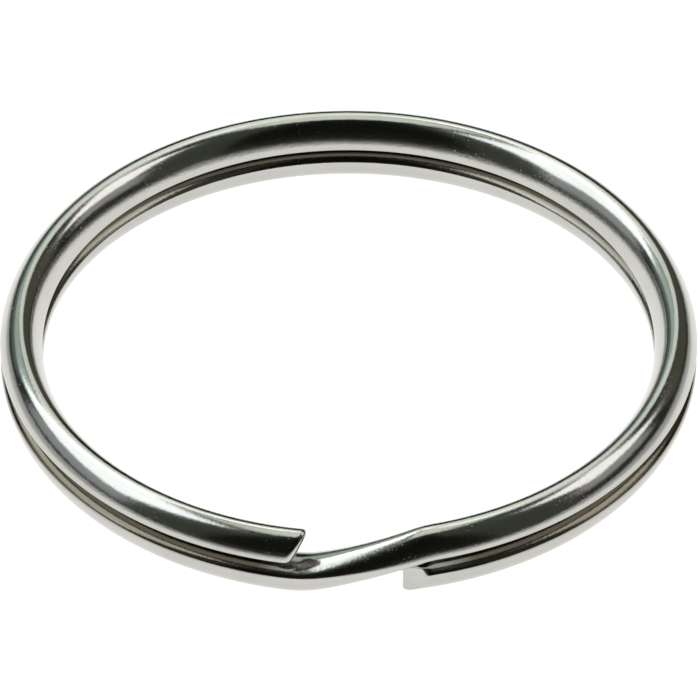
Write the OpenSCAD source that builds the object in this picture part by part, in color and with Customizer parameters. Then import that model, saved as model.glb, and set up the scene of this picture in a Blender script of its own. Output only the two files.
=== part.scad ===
// Split key ring: one length of plated spring wire, wound into two stacked turns.
// The wire is drawn as named stretches that meet face to face, because each free half-turn
// flexes away from the rest of the coil. Front is -Y, the underside of the lower turn is Z = 0,
// and the wire goes clockwise, seen from above, as it passes from the upper turn to the lower one.

/* [Ring] */
// Outside diameter of the ring
ring_od = 32; // [26:1:50]
// Width of the wire, from the inside of the ring to the outside
wire_w = 2; // [1.6:0.1:2.6]
// Height of one turn
turn_h = 1.66; // [1.3:0.02:2.2]
// Gap between the two turns when they are closed
turn_gap = 0.04; // [0.02:0.01:0.1]

/* [Wire section] */
// Height of the wire's widest point above the side that faces the other turn
shoulder_h = 0.46; // [0.3:0.02:0.8]
// Width of the worn flats, along the crown and along the side that faces the other turn
land_w = 0.4; // [0.2:0.1:0.6]

/* [Crossover] */
// Distance right of the front centre where the wire leaves the upper turn
ramp_start = 3.95; // [3.2:0.05:6]
// Distance left of the front centre where it arrives on the lower turn
ramp_end = 2.8; // [1.8:0.1:5]
// Length over which the slope builds up
ease_in = 0.9; // [0.5:0.1:1.5]
// Length over which the slope dies away
ease_out = 1.6; // [0.5:0.1:2]

/* [Upper free end] */
// How far the upper end reaches over the crossover, measured back from where the wire is fully down
upper_reach = 0.66; // [0:0.01:1]
// Skew of the cut seen from above, the inner side being the longer
upper_skew = 18; // [0:1:40]
// Lean of the cut seen from the front, the crown being the longer
upper_lean = 21; // [0:1:30]

/* [Lower free end] */
// How far the lower end reaches under the crossover, from where the wire leaves the upper turn
lower_reach = 1.52; // [0.5:0.01:1.6]
// How far back from the square end the corner cut meets the wire's own centre
lower_corner = 0.03; // [0:0.01:0.5]
// Skew of the corner cut seen from above
lower_skew = 45; // [20:1:50]
// Lean of the corner cut seen from the front
lower_lean = 16; // [0:1:30]

/* [Both free ends] */
// Length of wire that counts as the free end, the part that a fingernail lifts
tip_length = 6; // [4:0.5:10]
// Length of the bevel that lets each end lie over or under the crossover
bevel_length = 1.5; // [1:0.1:2]
// How much deeper the bevel is than the crossover needs
end_clearance = 0.09; // [0.05:0.01:0.2]

/* [Hidden] */
$fn = 96;

ring_r = (ring_od - wire_w) / 2;
stack_h = 2 * turn_h + turn_gap;
pitch = turn_h + turn_gap;
half_w = wire_w / 2;
land_share = sqrt(1 - pow(land_w / wire_w, 2));
crown_rise = (turn_h - shoulder_h) / land_share;
contact_drop = shoulder_h / land_share;

// Plan angles, in degrees from +X. The front is 270 and the back is 90.
front = 270;
back = 90;
ramp_start_deg = front + arc_deg(ramp_start);
ramp_end_deg = front - arc_deg(ramp_end);
overrun = 3;

// The crossover is a run of sections
stations = 24;
half_points = 24;
ramp_length = ramp_start + ramp_end;
ramp_slope = pitch / (ramp_length - (ease_in + ease_out) / 2);

// The free ends stop where the crossover leaves room for them
upper_cut = ramp_end - upper_reach;
lower_square = ramp_start - lower_reach;
lower_cut = lower_square + lower_corner;
bevel_angle = atan((ramp_drop(lower_reach) + end_clearance) / bevel_length);

// Cutting blocks reach this far past the wire on every side
block = 3 * wire_w;

// The angle that an arc of the wire's centre line covers
function arc_deg(length) = length / ring_r * 180 / PI;

// The crown and the contact side of one turn, above its contact flat, at parameter t
function across(t) = half_w * cos(t);
function crown_z(t) = min(shoulder_h + crown_rise * abs(sin(t)), turn_h);
function contact_z(t) = max(shoulder_h - contact_drop * abs(sin(t)), 0);

// The height, above the wire's own middle, of its upper and lower outline
function upper_turn_z(t) = (t <= 180 ? crown_z(t) : contact_z(t)) - turn_h / 2;
function lower_turn_z(t) = turn_h / 2 - (t <= 180 ? contact_z(t) : crown_z(t));

// The section's parameter runs once round the wire
section_steps = [for (i = [0 : 2 * half_points - 1]) i * 180 / half_points];

// How far the crossover has dropped, and how steeply, at a distance along it
function ramp_drop(s) =
    s < ease_in ? ramp_slope * s * s / (2 * ease_in)
    : s < ramp_length - ease_out ? ramp_slope * (s - ease_in / 2)
    : pitch - ramp_slope * pow(ramp_length - s, 2) / (2 * ease_out);
function ramp_tilt(s) = atan(ramp_slope * min(1, s / ease_in, (ramp_length - s) / ease_out));

// One point of the crossover's skin: the section turns from crown-up to crown-down on the way
function crossover_point(s, t) =
    let(
        angle = ramp_start_deg - arc_deg(s),
        drop = ramp_drop(s),
        tilt = ramp_tilt(s),
        share = drop / pitch,
        rise = (1 - share) * upper_turn_z(t) + share * lower_turn_z(t),
        reach = ring_r + across(t),
        along = rise * sin(tilt)
    )
    [
        reach * cos(angle) + along * sin(angle),
        reach * sin(angle) - along * cos(angle),
        pitch / 2 - drop + rise * cos(tilt)
    ];

// The wire's section as it lies in the upper turn, contact side down
module wire_section() {
    polygon([for (t = section_steps) [ring_r + across(t), pitch / 2 + upper_turn_z(t)]]);
}

// A stretch of the upper turn, measured from the plane between the two turns
module turn_arc(from, to) {
    rotate_extrude(angle = to - from, start = from)
        wire_section();
}

// A stretch of the lower turn is the upper turn's, turned over about the front-to-back line
module turned_over() {
    rotate([0, 180, 0])
        children();
}

// Stands the coil on Z = 0
module on_the_table() {
    translate([0, 0, stack_h / 2])
        children();
}

module nickel() {
    color([0.72, 0.72, 0.69])
        on_the_table()
            children();
}

// A block that takes everything to the right of a slanted cut, left of the front centre
module cut_block(distance, skew, lean) {
    translate([-distance, -ring_r, pitch / 2])
        rotate([0, lean, -skew])
            translate([0, -block, -block])
                cube([block, 2 * block, 2 * block]);
}

// A block that bevels the contact side over the last stretch before a cut
module bevel_block(distance) {
    translate([-distance - bevel_length, -ring_r - block, turn_gap / 2])
        rotate([0, -bevel_angle, 0])
            translate([0, 0, -block])
                cube([2 * block, 2 * block, block]);
}

// The last stretch of a turn, before its cuts are taken
module end_arc(distance) {
    turn_arc(front - arc_deg(distance + tip_length), front - arc_deg(distance - overrun));
}

module crossover() {
    count = len(section_steps);
    points = [
        for (k = [0 : stations])
            for (t = section_steps)
                crossover_point(k * ramp_length / stations, t)
    ];
    skin = [
        for (k = [0 : stations - 1])
            for (i = [0 : count - 1])
                let(j = (i + 1) % count)
                    each [
                        [k * count + i, (k + 1) * count + i, (k + 1) * count + j],
                        [k * count + i, (k + 1) * count + j, k * count + j]
                    ]
    ];
    start_face = [for (i = [0 : count - 1]) i];
    end_face = [for (i = [count - 1 : -1 : 0]) stations * count + i];
    nickel()
        polyhedron(points, concat([start_face, end_face], skin));
}

module upper_turn_right() {
    nickel()
        turn_arc(ramp_start_deg - 360, back);
}

module lower_turn_left() {
    nickel()
        turned_over()
            turn_arc(180 - ramp_end_deg, back);
}

module upper_turn_left() {
    nickel()
        turn_arc(back, front - arc_deg(upper_cut + tip_length));
}

module upper_free_end() {
    nickel()
        difference() {
            end_arc(upper_cut);
            cut_block(upper_cut, upper_skew, upper_lean);
            bevel_block(upper_cut);
        }
}

module lower_turn_right() {
    nickel()
        turned_over()
            turn_arc(back, front - arc_deg(lower_cut + tip_length));
}

module lower_free_end() {
    nickel()
        turned_over()
            difference() {
                end_arc(lower_cut);
                cut_block(lower_square, 0, 0);
                cut_block(lower_cut, lower_skew, lower_lean);
                bevel_block(lower_cut);
            }
}

crossover();
upper_turn_right();
lower_turn_left();
upper_turn_left();
upper_free_end();
lower_turn_right();
lower_free_end();
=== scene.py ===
"""A split key ring: one length of nickel-plated wire in two stacked turns.

Three continuous stretches of wire stand for the CAD nodes: the core, which holds the crossover, and the two
free half-turns, which meet it at the back. Everything is in metres, in the CAD frame: the front is
-Y, and the ring lies on Z = 0.
"""

import math

import bpy
import numpy as np
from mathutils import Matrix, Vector


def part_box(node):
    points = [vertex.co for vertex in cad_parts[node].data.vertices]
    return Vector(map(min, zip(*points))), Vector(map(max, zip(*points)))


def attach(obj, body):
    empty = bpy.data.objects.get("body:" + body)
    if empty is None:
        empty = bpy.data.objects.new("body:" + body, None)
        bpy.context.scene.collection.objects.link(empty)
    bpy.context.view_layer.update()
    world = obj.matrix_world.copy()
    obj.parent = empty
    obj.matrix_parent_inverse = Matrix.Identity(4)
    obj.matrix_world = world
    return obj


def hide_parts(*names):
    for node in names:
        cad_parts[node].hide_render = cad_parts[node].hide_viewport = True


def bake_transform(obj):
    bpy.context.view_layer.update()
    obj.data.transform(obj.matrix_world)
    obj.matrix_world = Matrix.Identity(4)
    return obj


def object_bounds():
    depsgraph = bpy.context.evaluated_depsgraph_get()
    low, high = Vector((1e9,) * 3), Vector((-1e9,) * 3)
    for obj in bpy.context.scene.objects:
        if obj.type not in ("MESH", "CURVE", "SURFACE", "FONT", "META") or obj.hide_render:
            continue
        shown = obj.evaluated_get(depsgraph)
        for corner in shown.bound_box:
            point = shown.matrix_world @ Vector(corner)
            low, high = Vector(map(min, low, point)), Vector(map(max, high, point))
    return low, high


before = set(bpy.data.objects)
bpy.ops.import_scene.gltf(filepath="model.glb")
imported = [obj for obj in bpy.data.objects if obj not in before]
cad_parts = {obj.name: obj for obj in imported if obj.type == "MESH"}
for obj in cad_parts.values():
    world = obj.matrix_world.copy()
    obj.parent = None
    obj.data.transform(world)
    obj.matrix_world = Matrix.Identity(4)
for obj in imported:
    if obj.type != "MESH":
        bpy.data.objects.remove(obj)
CAD_LOW, CAD_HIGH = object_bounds()
MM = 0.001

# ---------------------------------------------------------------------------------------------------------
# Sizes, from the frame where it has them
# ---------------------------------------------------------------------------------------------------------
FRONT = -math.pi / 2
BACK = math.pi / 2

OUTER_R = (CAD_HIGH.y - CAD_LOW.y) / 2
WIRE_W = 2.0 * MM
RING_R = OUTER_R - WIRE_W / 2
HALF_W = 0.975 * MM         # a little slimmer than the CAD's, because the stack leans
UPPER_LOW, UPPER_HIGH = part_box("upper_turn_right")
LOWER_LOW, LOWER_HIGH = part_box("lower_turn_left")
TURN_H = UPPER_HIGH[2] - UPPER_LOW[2]
HALF_H = TURN_H / 2
UPPER_Z = UPPER_LOW[2] + HALF_H
LOWER_Z = LOWER_LOW[2] + HALF_H
PITCH = UPPER_Z - LOWER_Z
GAP = PITCH - TURN_H
STATION_STEP = 0.3 * MM
SHARP_ANGLE = math.radians(40)

# The section is widest at the shoulders. They stand this far from the side that faces the other turn.
# Two values are for the outside and the inside of the ring. The powers say how full each curve is: 2 is an
# ellipse and 1 a straight chamfer. From the shoulder to the crown they go from the wall's to the crown's.
UPPER_SHOULDERS = 0.53 * MM, 0.30 * MM
UPPER_WALL = 1.5, 1.5
UPPER_CROWN = 1.7, 1.85
UPPER_CONTACT = 1.45, 2.3
LOWER_SHOULDERS = 0.46 * MM, 0.50 * MM
LOWER_WALL = 2.0, 2.0
LOWER_CROWN = 2.0, 2.0
LOWER_CONTACT = 2.0, 1.7
STACK_LEAN = math.tan(math.radians(1.2))    # the crowns lean, the upper one outwards
SECTION_POINTS = 96

# The crossover, measured along the wire from the front centre
RAMP_START = 3.95 * MM
RAMP_END = 2.8 * MM
RAMP_LENGTH = RAMP_START + RAMP_END
EASE_IN = 0.9 * MM
EASE_OUT = 1.6 * MM
RAMP_SLOPE = PITCH / (RAMP_LENGTH - (EASE_IN + EASE_OUT) / 2)

# The two cut ends
TIP_LENGTH = 6 * MM
TIP_STATIONS = 36
RIM_STATIONS = 6
CAP_RINGS = 0.75, 0.5, 0.25, 0.06           # sizes of the rings on a cut face, as shares of its outline
UPPER_CUT = -2.14 * MM
UPPER_SKEW = math.radians(18)
UPPER_LEAN = math.radians(21)
LOWER_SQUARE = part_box("lower_free_end")[0][0]
LOWER_CUT = LOWER_SQUARE + 0.03 * MM
LOWER_SKEW = math.radians(45)
LOWER_LEAN = math.radians(16)
LOWER_CORNER_R = 0.05 * MM
BEVEL_LENGTH = 1.5 * MM
BEVEL_SLOPE = math.tan(math.radians(16))
UPPER_RIM_R = 0.34 * MM
LOWER_RIM_R = 0.13 * MM

# Painted shade: the groove between the turns is darkened in colour, as the shade between them, except round
# the crossover
GROOVE_LOW = (UPPER_Z + LOWER_Z) / 2 - 0.5 * MM
GROOVE_HIGH = (UPPER_Z + LOWER_Z) / 2 + 0.2 * MM
UNSHADED_MIDDLE_X = 0.8 * MM
UNSHADED_HALF_X = 3.4 * MM
UNSHADED_BACK_Y = -12 * MM
UNSHADED_FADE = 1.5 * MM
# How much painted shade darkens the groove, and the brownish colour it darkens towards
GROOVE_SHADE_SHARE = 0.85
GROOVE_SHADE = (0.12, 0.10, 0.06)

# The table, and the part of it that glows, measured from the ring's middle
TABLE_HALF = 220 * MM
TABLE_DROP = 0.01 * MM
LIT_HALF_X = 24 * MM
LIT_HALF_Y = 27 * MM
LIT_FADE = 5 * MM

# The camera is square to the front and looks down on the ring through a long lens
MIDDLE = (CAD_LOW + CAD_HIGH) / 2
CAMERA_ELEVATION = math.radians(39.95)
VIEW_WIDTH = 32.11 * MM
VIEW_RIGHT = 0.064 * MM
VIEW_DOWN = 0.142 * MM
LENS = 600
SENSOR = 36
CLIP_START = 0.01
CLIP_END = 10

LAMP_DISTANCE = 0.5
COOL = (0.93, 0.98, 1.0)
CREAM = (1.0, 0.99, 0.95)
GREENISH = (0.93, 1.0, 0.90)
GREY = (0.96, 1.0, 0.96)
ROSY = (1.0, 0.98, 0.98)
ROSY_LOW = (1.0, 0.97, 0.97)
TEAL_HIGH = (0.80, 1.0, 0.90)
TEAL = (0.75, 1.0, 0.95)
OLIVE = (1.0, 0.97, 0.72)
MOSS = (0.85, 1.0, 0.75)
DARK = (0.006, 0.006, 0.004)
# What the wire mirrors: name, azimuth, elevation, width and height in degrees, radiance, colour
SOFTBOXES = [
    ("back_left", -33, 54, 30, 22, 1.62, CREAM),
    ("back_top", 8, 59, 23, 30, 1.25, GREENISH),
    ("back_low", 2, 36, 26, 15, 1.05, GREENISH),
    ("right_top", 44, 61, 20, 20, 0.85, GREY),
    ("overhead", 0, 90, 34, 30, 1.05, GREENISH),
    ("left_window", -80, 46, 52, 42, 1.9, COOL),
    ("left_low", -88, 14, 44, 18, 0.42, COOL),
    ("right_window", 81, 43, 32, 27, 1.7, ROSY),
    ("right_low", 90, 20, 30, 16, 0.42, ROSY_LOW),
    ("left_horizon", -34, 30, 40, 18, 0.62, TEAL_HIGH),
    ("left_haze", -34, 14, 44, 12, 0.16, TEAL),
    ("right_horizon", 40, 24, 48, 34, 0.085, OLIVE),
    ("left_side", -124, 35, 28, 60, 0.06, MOSS),
    ("right_side", 122, 35, 32, 60, 0.06, MOSS),
]


# ---------------------------------------------------------------------------------------------------------
# The wire's section and the way it runs
# ---------------------------------------------------------------------------------------------------------
def section(shoulders, wall_powers, crown_powers, contact_powers, up):
    """Across the wire, and the height above its middle. Each pair has the outer side first."""
    t = np.linspace(0, 2 * math.pi, SECTION_POINTS, endpoint=False)
    cos, sin = np.cos(t), np.sin(t)
    outer, crown = cos >= 0, sin >= 0
    shoulder = np.where(outer, *shoulders)
    wall_power = np.where(outer, *wall_powers)
    crown_power = wall_power + (np.where(outer, *crown_powers) - wall_power) * sin**2
    power = np.where(crown, crown_power, np.where(outer, *contact_powers))
    across = HALF_W * np.sign(cos) * np.abs(cos) ** (2 / power)
    bulge = np.abs(sin) ** (2 / power)
    rise = np.where(crown, shoulder + (TURN_H - shoulder) * bulge, shoulder * (1 - bulge))
    lean = up * STACK_LEAN * (rise + GAP / 2)
    return across + lean, up * (rise - HALF_H)


def same_way_round(section_down):
    """A crown-down section with its points in the same places round the wire as a crown-up one."""
    across, rise = section_down
    return np.roll(across[::-1], 1), np.roll(rise[::-1], 1)


def ramp(s):
    """How far the crossover has dropped, and its slope, at a distance along it."""
    left = RAMP_LENGTH - s
    if s <= 0:
        return 0.0, 0.0
    if s < EASE_IN:
        return RAMP_SLOPE * s * s / (2 * EASE_IN), RAMP_SLOPE * s / EASE_IN
    if left > EASE_OUT:
        return RAMP_SLOPE * (s - EASE_IN / 2), RAMP_SLOPE
    if left > 0:
        return PITCH - RAMP_SLOPE * left**2 / (2 * EASE_OUT), RAMP_SLOPE * left / EASE_OUT
    return PITCH, 0.0


def ring_points(angle, across, rise, middle_z, slope=0.0):
    """A section at a plan angle, tipped so that it stays square to a wire that slopes down clockwise."""
    tip = math.atan(slope)
    along = rise * math.sin(tip)
    reach = RING_R + across
    x = reach * np.cos(angle) + along * np.sin(angle)
    y = reach * np.sin(angle) - along * np.cos(angle)
    return np.stack([x, y, middle_z + rise * math.cos(tip)], axis=1)


# ---------------------------------------------------------------------------------------------------------
# The three stretches of wire
# ---------------------------------------------------------------------------------------------------------
def skin(name, rings):
    """A closed mesh through a list of rings of points."""
    count = len(rings[0])
    last = (len(rings) - 1) * count
    points = [tuple(p) for p in np.concatenate(rings)]
    faces = []
    for low in range(0, last, count):
        high = low + count
        for i in range(count):
            j = (i + 1) % count
            faces.append((low + i, high + i, high + j, low + j))
    for first in (0, last):
        hub = len(points)
        points.append(tuple(np.mean(points[first:first + count], axis=0)))
        faces += [(first + i, first + (i + 1) % count, hub) for i in range(count)]
    mesh = bpy.data.meshes.new(name)
    mesh.from_pydata(points, [], faces)
    mesh.validate()
    piece = bpy.data.objects.new(name, mesh)
    bpy.context.scene.collection.objects.link(piece)
    bpy.context.view_layer.objects.active = piece
    bpy.ops.object.mode_set(mode="EDIT")
    bpy.ops.mesh.select_all(action="SELECT")
    bpy.ops.mesh.normals_make_consistent(inside=False)
    bpy.ops.object.mode_set(mode="OBJECT")
    mesh.shade_smooth()
    mesh.set_sharp_from_angle(angle=SHARP_ANGLE)
    return piece


def core_wire():
    """From the back, round the right of the upper turn, down the crossover and round the lower's left."""
    total = 2 * math.pi * RING_R
    ramp_from = (BACK - FRONT) * RING_R - RAMP_START
    upper, lower = UPPER_SECTION, same_way_round(LOWER_SECTION)
    rings = []
    for s in np.linspace(0, total, round(total / STATION_STEP) + 1):
        drop, slope = ramp(s - ramp_from)
        share = drop / PITCH
        across, rise = ((1 - share) * a + share * b for a, b in zip(upper, lower))
        rings.append(ring_points(BACK - s / RING_R, across, rise, UPPER_Z - drop, slope))
    return skin("core_wire", rings)


def cut_plane(cut, skew, lean, across, rise):
    """The X at which a skewed and leaning cut meets a point of the section."""
    return cut + math.tan(skew) * across + math.tan(lean) / math.cos(skew) * rise


def upper_limit(across, rise):
    """Where the upper end is cut, as X, for a point of the section."""
    return cut_plane(UPPER_CUT, -UPPER_SKEW, UPPER_LEAN, across, rise)


def lower_limit(across, rise):
    """The same for the lower end, which has a square end and a corner cut."""
    corner = cut_plane(LOWER_CUT, LOWER_SKEW, LOWER_LEAN, across, rise)
    return soft_max(corner, LOWER_SQUARE, LOWER_CORNER_R)


def soft_max(a, b, width):
    """The larger of two values, with the corner between them rounded over."""
    return (a + b + np.sqrt((a - b) ** 2 + width**2)) / 2


def end_rings(start_angle, side, limit, middle_z, shape, rim):
    """Rings from a square section to a cut end with a rounded edge. side is +1 if X grows towards the end."""
    # How far along the stretch each ring is, its size, and its distance from the cut
    steps = [(k / TIP_STATIONS, 1.0, rim) for k in range(TIP_STATIONS)]
    for turn in np.linspace(0, math.pi / 2, RIM_STATIONS):
        inset = 1 - rim * (1 - math.cos(turn)) / HALF_H
        steps.append((1.0, inset, rim * (1 - math.sin(turn))))
    steps += [(1.0, inset * size, 0.0) for size in CAP_RINGS]
    rings = []
    for share, size, setback in steps:
        across, rise = shape[0] * size, shape[1] * size
        edge = limit(across, rise) - side * setback
        cut_angle = FRONT + np.arcsin(edge / (RING_R + across))
        angle = start_angle + (cut_angle - start_angle) * share
        rings.append(ring_points(angle, across, rise, middle_z))
    return rings


def bevelled(rings, tip_x, side, contact_z):
    """Keeps the flat side of an end clear of the crossover over its last stretch."""
    for ring in rings:
        past = np.maximum(side * (ring[:, 0] - tip_x) + BEVEL_LENGTH, 0)
        plane = contact_z + side * BEVEL_SLOPE * past
        held = np.maximum(side * (ring[:, 2] - plane), 0) * side + plane
        ring[:, 2] = np.where(past > 0, held, ring[:, 2])
    return rings


def leaf_wire(name, side, middle_z, shape, limit, cut_x, rim, contact_z):
    """A free half-turn, from the back to its cut end. side is +1 for the upper one, -1 for the lower."""
    tip_angle = FRONT + math.asin(cut_x / RING_R) - side * TIP_LENGTH / RING_R
    sweep_to = tip_angle + 2 * math.pi if side > 0 else tip_angle
    length = abs(sweep_to - BACK) * RING_R
    angles = np.linspace(BACK, sweep_to, round(length / STATION_STEP) + 1)
    rings = [ring_points(a, *shape, middle_z) for a in angles[:-1]]
    tip = end_rings(tip_angle, side, limit, middle_z, shape, rim)
    return skin(name, rings + bevelled(tip, cut_x, side, contact_z))


# ---------------------------------------------------------------------------------------------------------
# Materials
# ---------------------------------------------------------------------------------------------------------
class Nodes:
    """Short forms for building a node tree. Each returns the output socket that the next one takes."""

    def __init__(self, material):
        material.use_nodes = True
        self.tree = material.node_tree
        self.tree.nodes.clear()

    def add(self, kind, **inputs):
        node = self.tree.nodes.new(kind)
        for name, value in inputs.items():
            self.feed(node.inputs[name], value)
        return node

    def feed(self, socket, value):
        if isinstance(value, bpy.types.NodeSocket):
            self.tree.links.new(value, socket)
        else:
            socket.default_value = value

    def surface(self, **inputs):
        shader = self.add("ShaderNodeBsdfPrincipled", **inputs)
        self.add("ShaderNodeOutputMaterial", Surface=shader.outputs["BSDF"])
        return shader

    def place(self):
        point = self.add("ShaderNodeTexCoord").outputs["Object"]
        return point, self.add("ShaderNodeSeparateXYZ", Vector=point)

    def math(self, operation, *values, clamp=False):
        node = self.tree.nodes.new("ShaderNodeMath")
        node.operation = operation
        node.use_clamp = clamp
        for socket, value in zip(node.inputs, values):
            self.feed(socket, value)
        return node.outputs[0]

    def noise(self, point, **inputs):
        return self.add("ShaderNodeTexNoise", Vector=point, **inputs).outputs["Fac"]

    def ramp(self, source, *stops):
        node = self.add("ShaderNodeValToRGB", Fac=source)
        while len(node.color_ramp.elements) < len(stops):
            node.color_ramp.elements.new(0.5)
        for element, (place, colour) in zip(node.color_ramp.elements, stops):
            element.position = place
            element.color = (*colour, 1.0)
        return node.outputs["Color"]

    def mix(self, share, first, second):
        node = self.tree.nodes.new("ShaderNodeMix")
        node.data_type = "RGBA"
        self.feed(node.inputs["Factor"], share)
        first_in, second_in = (socket for socket in node.inputs if socket.type == "RGBA")
        self.feed(first_in, first)
        self.feed(second_in, (*second, 1))
        return next(socket for socket in node.outputs if socket.type == "RGBA")

    def bump(self, height, strength, distance, below=None, invert=False):
        node = self.add("ShaderNodeBump", Height=height, Strength=strength, Distance=distance)
        node.invert = invert
        if below:
            self.feed(node.inputs["Normal"], below)
        return node.outputs["Normal"]


BLACK = (0, 0, 0)
WHITE = (1, 1, 1)


def groove_shade_mask(n, place):
    """Where shade is painted: white in the groove between the turns, and black away from it and round the
    crossover.
    """
    height = n.math("DIVIDE", n.math("SUBTRACT", place["Z"], GROOVE_LOW), GROOVE_HIGH - GROOVE_LOW)
    groove = n.ramp(height, (0.0, BLACK), (0.35, WHITE), (0.75, WHITE), (0.9, BLACK))
    off_middle = n.math("ABSOLUTE", n.math("SUBTRACT", place["X"], UNSHADED_MIDDLE_X))
    beside = n.math("SUBTRACT", off_middle, UNSHADED_HALF_X)
    behind = n.math("SUBTRACT", place["Y"], UNSHADED_BACK_Y)
    away = n.math("DIVIDE", n.math("MAXIMUM", beside, behind), UNSHADED_FADE, clamp=True)
    return n.math("MULTIPLY", groove, away)


def nickel_plate():
    """Bright nickel plate, tumbled: lines along the wire, a faint orange peel, fine pits, and painted shade
    in the groove between the turns.
    """
    material = bpy.data.materials.new("nickel_plate")
    n = Nodes(material)
    point, split = n.place()
    place = split.outputs

    # Lines run along the wire: they follow the distance from the axis and the height, and drift a little
    x2 = n.math("MULTIPLY", place["X"], place["X"])
    y2 = n.math("MULTIPLY", place["Y"], place["Y"])
    radius = n.math("SQRT", n.math("ADD", x2, y2))
    drift = n.math("MULTIPLY", n.noise(point, Scale=160.0, Detail=2.0), 0.9 * MM)
    across = n.add("ShaderNodeCombineXYZ", X=radius, Y=place["Z"], Z=drift).outputs["Vector"]
    lines = n.noise(across, Scale=9000.0, Detail=4.0, Roughness=0.6)

    peel = n.noise(point, Scale=8000.0, Detail=2.0, Roughness=0.5)
    cloud = n.noise(point, Scale=260.0, Detail=3.0, Roughness=0.55)
    specks = n.add("ShaderNodeTexVoronoi", Vector=point, Scale=5200.0, Randomness=1.0).outputs["Distance"]
    pits = n.ramp(specks, (0.05, WHITE), (0.17, BLACK))
    patchy = n.ramp(cloud, (0.46, BLACK), (0.62, WHITE))
    pitting = n.math("MULTIPLY", pits, patchy)

    unshaded_plate = n.ramp(cloud, (0.3, (0.50, 0.50, 0.475)), (0.7, (0.555, 0.55, 0.525)))
    # Painted shade: the plate's colour is darkened towards a brown in the groove between the turns
    colour = n.mix(n.math("MULTIPLY", groove_shade_mask(n, place), GROOVE_SHADE_SHARE), unshaded_plate, GROOVE_SHADE)

    # Lines, peel and pits each add to the roughness of the bright plate
    rough = n.math("MULTIPLY_ADD", lines, 0.10, 0.09)
    rough = n.math("MULTIPLY_ADD", peel, 0.05, rough)
    rough = n.math("MULTIPLY_ADD", pitting, 0.25, rough)

    drawn = n.bump(lines, 0.25, 0.004 * MM)
    peeled = n.bump(peel, 0.6, 0.006 * MM, below=drawn)
    pitted = n.bump(pitting, 0.5, 0.008 * MM, below=peeled, invert=True)
    n.surface(**{"Metallic": 1.0, "Base Color": colour, "Roughness": rough, "Normal": pitted})
    return material


def white_table():
    """A white board, lit from below under the ring as a light table is, that dims a little further out."""
    material = bpy.data.materials.new("white_table")
    n = Nodes(material)
    _, split = n.place()
    past_x = n.math("SUBTRACT", n.math("ABSOLUTE", split.outputs["X"]), LIT_HALF_X)
    past_y = n.math("SUBTRACT", n.math("ABSOLUTE", split.outputs["Y"]), LIT_HALF_Y)
    share = n.math("DIVIDE", n.math("MAXIMUM", past_x, past_y), LIT_FADE)
    glow = n.ramp(share, (0.0, (1.0, 0.985, 0.965)), (1.0, (0.36, 0.355, 0.34)))
    n.surface(**{
        "Base Color": (0.25, 0.25, 0.25, 1),
        "Roughness": 0.9,
        "Emission Color": glow,
        "Emission Strength": 0.98,
    })
    return material


# ---------------------------------------------------------------------------------------------------------
# Surroundings
# ---------------------------------------------------------------------------------------------------------
def camera():
    back = Vector((0, -math.cos(CAMERA_ELEVATION), math.sin(CAMERA_ELEVATION)))
    up = Vector((0, math.sin(CAMERA_ELEVATION), math.cos(CAMERA_ELEVATION)))
    right = Vector((1, 0, 0))
    data = bpy.data.cameras.new("camera")
    data.sensor_width = SENSOR
    data.lens = LENS
    data.clip_start = CLIP_START
    data.clip_end = CLIP_END
    eye = bpy.data.objects.new("camera", data)
    eye.location = MIDDLE + right * VIEW_RIGHT - up * VIEW_DOWN + back * VIEW_WIDTH * LENS / SENSOR
    eye.rotation_euler = back.to_track_quat("Z", "Y").to_euler()
    bpy.context.scene.collection.objects.link(eye)
    bpy.context.scene.camera = eye


def pale_floor():
    corners = [(-1, -1), (1, -1), (1, 1), (-1, 1)]
    points = [(x * TABLE_HALF, y * TABLE_HALF, CAD_LOW.z - TABLE_DROP) for x, y in corners]
    mesh = bpy.data.meshes.new("floor")
    mesh.from_pydata(points, [], [(0, 1, 2, 3)])
    mesh.materials.append(white_table())
    floor = bpy.data.objects.new("floor", mesh)
    bpy.context.scene.collection.objects.link(floor)


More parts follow.
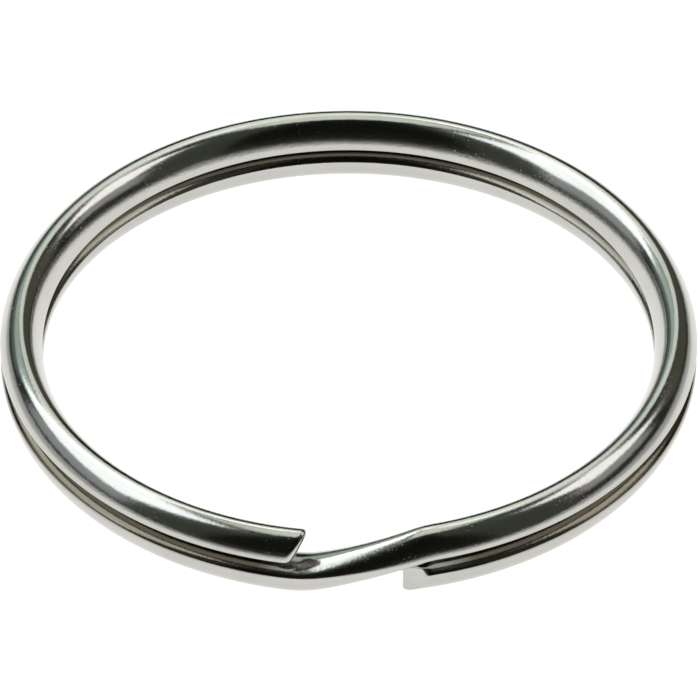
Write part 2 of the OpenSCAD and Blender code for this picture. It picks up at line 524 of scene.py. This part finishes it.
def softbox(name, azimuth, elevation, width, height, radiance, colour):
    """A rectangular lamp that faces the ring. Azimuth 0 is behind the ring, and it grows to the right."""
    width, height = (2 * LAMP_DISTANCE * math.tan(math.radians(angle / 2)) for angle in (width, height))
    a, e = math.radians(azimuth), math.radians(elevation)
    direction = Vector((math.sin(a) * math.cos(e), math.cos(a) * math.cos(e), math.sin(e)))
    light = bpy.data.lights.new(name, "AREA")
    light.shape = "RECTANGLE"
    light.size = width
    light.size_y = height
    light.energy = radiance * math.pi * width * height
    light.color = colour
    lamp = bpy.data.objects.new(name, light)
    lamp.location = MIDDLE + direction * LAMP_DISTANCE
    lamp.rotation_euler = (-direction).to_track_quat("-Z", "Y").to_euler()
    lamp.visible_camera = False
    bpy.context.scene.collection.objects.link(lamp)


def dark_room():
    """What the wire mirrors between the lamps."""
    world = bpy.data.worlds.new("studio")
    world.use_nodes = True
    world.node_tree.nodes["Background"].inputs["Color"].default_value = (*DARK, 1)
    bpy.context.scene.world = world
    bpy.context.scene.view_settings.view_transform = "Standard"


camera()
pale_floor()
for box in SOFTBOXES:
    softbox(*box)
dark_room()

# ---------------------------------------------------------------------------------------------------------
# The ring
# ---------------------------------------------------------------------------------------------------------
UPPER_SECTION = section(UPPER_SHOULDERS, UPPER_WALL, UPPER_CROWN, UPPER_CONTACT, 1)
LOWER_SECTION = section(LOWER_SHOULDERS, LOWER_WALL, LOWER_CROWN, LOWER_CONTACT, -1)

core = core_wire()
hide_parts("crossover", "upper_turn_right", "lower_turn_left")
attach(core, "core")

upper = leaf_wire("upper_leaf_wire", 1, UPPER_Z, UPPER_SECTION, upper_limit, UPPER_CUT, UPPER_RIM_R,
                  UPPER_LOW[2])
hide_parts("upper_turn_left", "upper_free_end")
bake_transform(upper)

lower = leaf_wire("lower_leaf_wire", -1, LOWER_Z, LOWER_SECTION, lower_limit, LOWER_SQUARE, LOWER_RIM_R,
                  LOWER_HIGH[2])
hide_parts("lower_turn_right", "lower_free_end")
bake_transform(lower)

nickel = nickel_plate()
for piece in (core, upper, lower):
    piece.data.materials.append(nickel)
